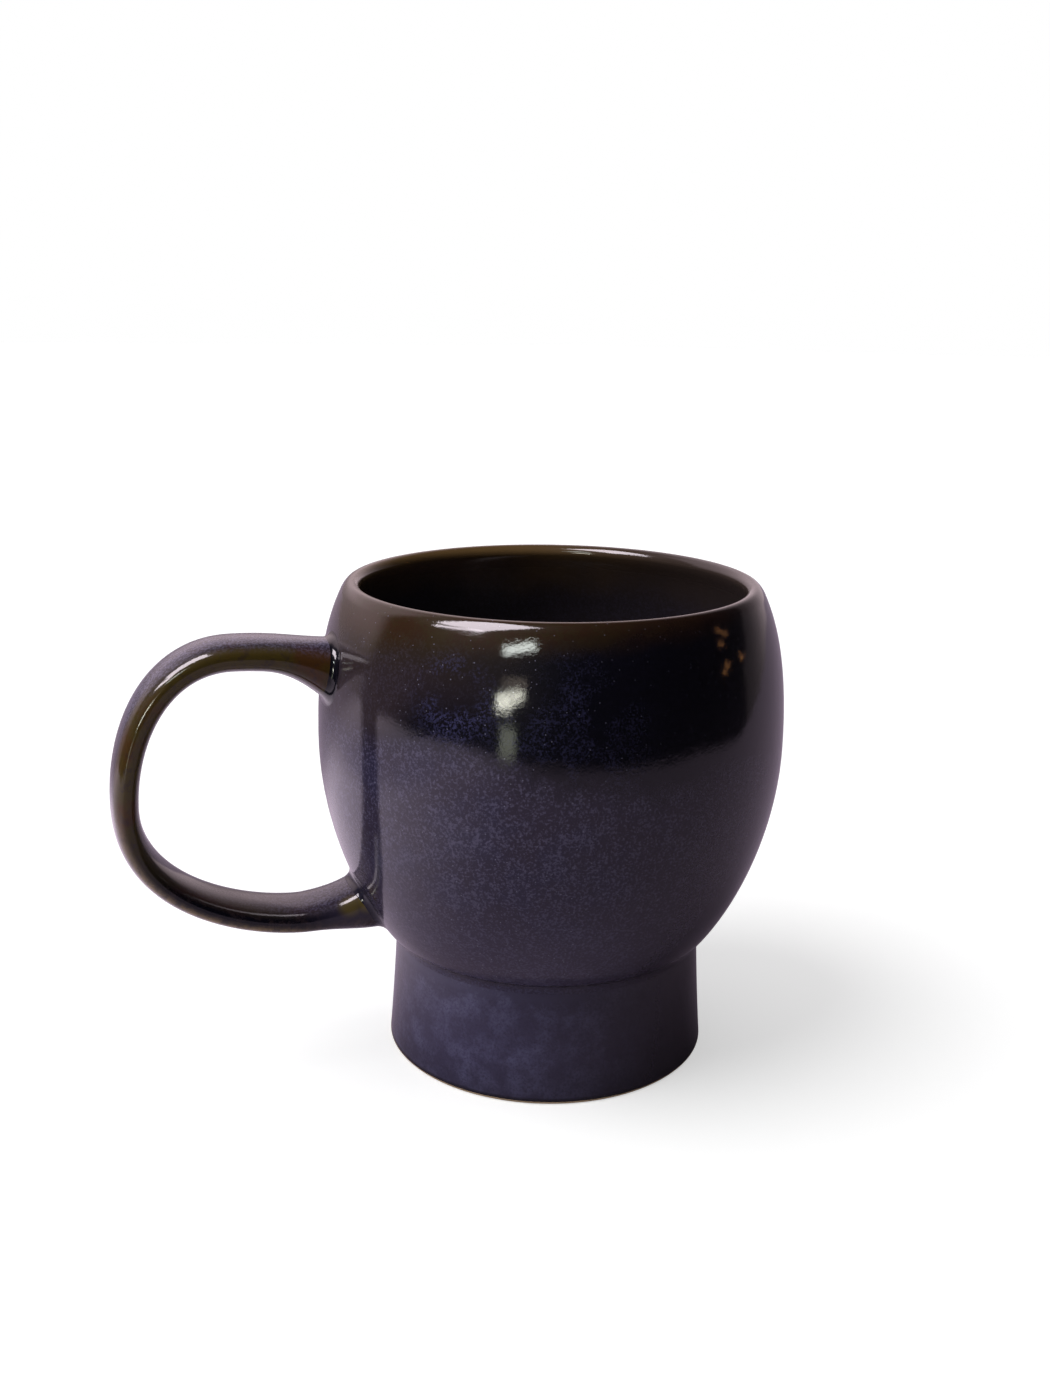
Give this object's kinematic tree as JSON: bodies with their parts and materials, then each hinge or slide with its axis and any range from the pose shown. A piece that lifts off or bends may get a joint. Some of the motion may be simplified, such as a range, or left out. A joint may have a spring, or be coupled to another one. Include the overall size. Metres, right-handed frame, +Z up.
{
  "type": "coffee mug",
  "caption": "Glazed stoneware coffee mug: round bowl luted on a hollow foot ring, with a strap handle joined by slip.",
  "frame": {"origin": "on the resting plane, under the middle of the mug's whole length, handle included", "axes": "+Z up, handle towards -X, +Y to the right-hand side seen from the handle, bowl's own axis vertical at x = 19.8 mm"},
  "size_m": [0.1316, 0.092, 0.0959],
  "materials": {
    "bowl_glaze": "glossy dark violet-blue speckled glaze that breaks olive brown at the rim",
    "foot_glaze": "satin indigo mottled glaze, bare tan clay under the foot",
    "handle_glaze": "glossy glaze, olive brown on the edges and violet on the outer face",
    "slip_glaze": "glossy dark glaze pooled over a bead of slip"
  },
  "bodies": {
    "root": {"bowl": "bowl_glaze", "foot_ring": "foot_glaze", "foot_slip_joint": "slip_glaze", "handle": "handle_glaze", "upper_handle_slip_joint": "slip_glaze", "lower_handle_slip_joint": "slip_glaze"}
  },
  "joints": []
}
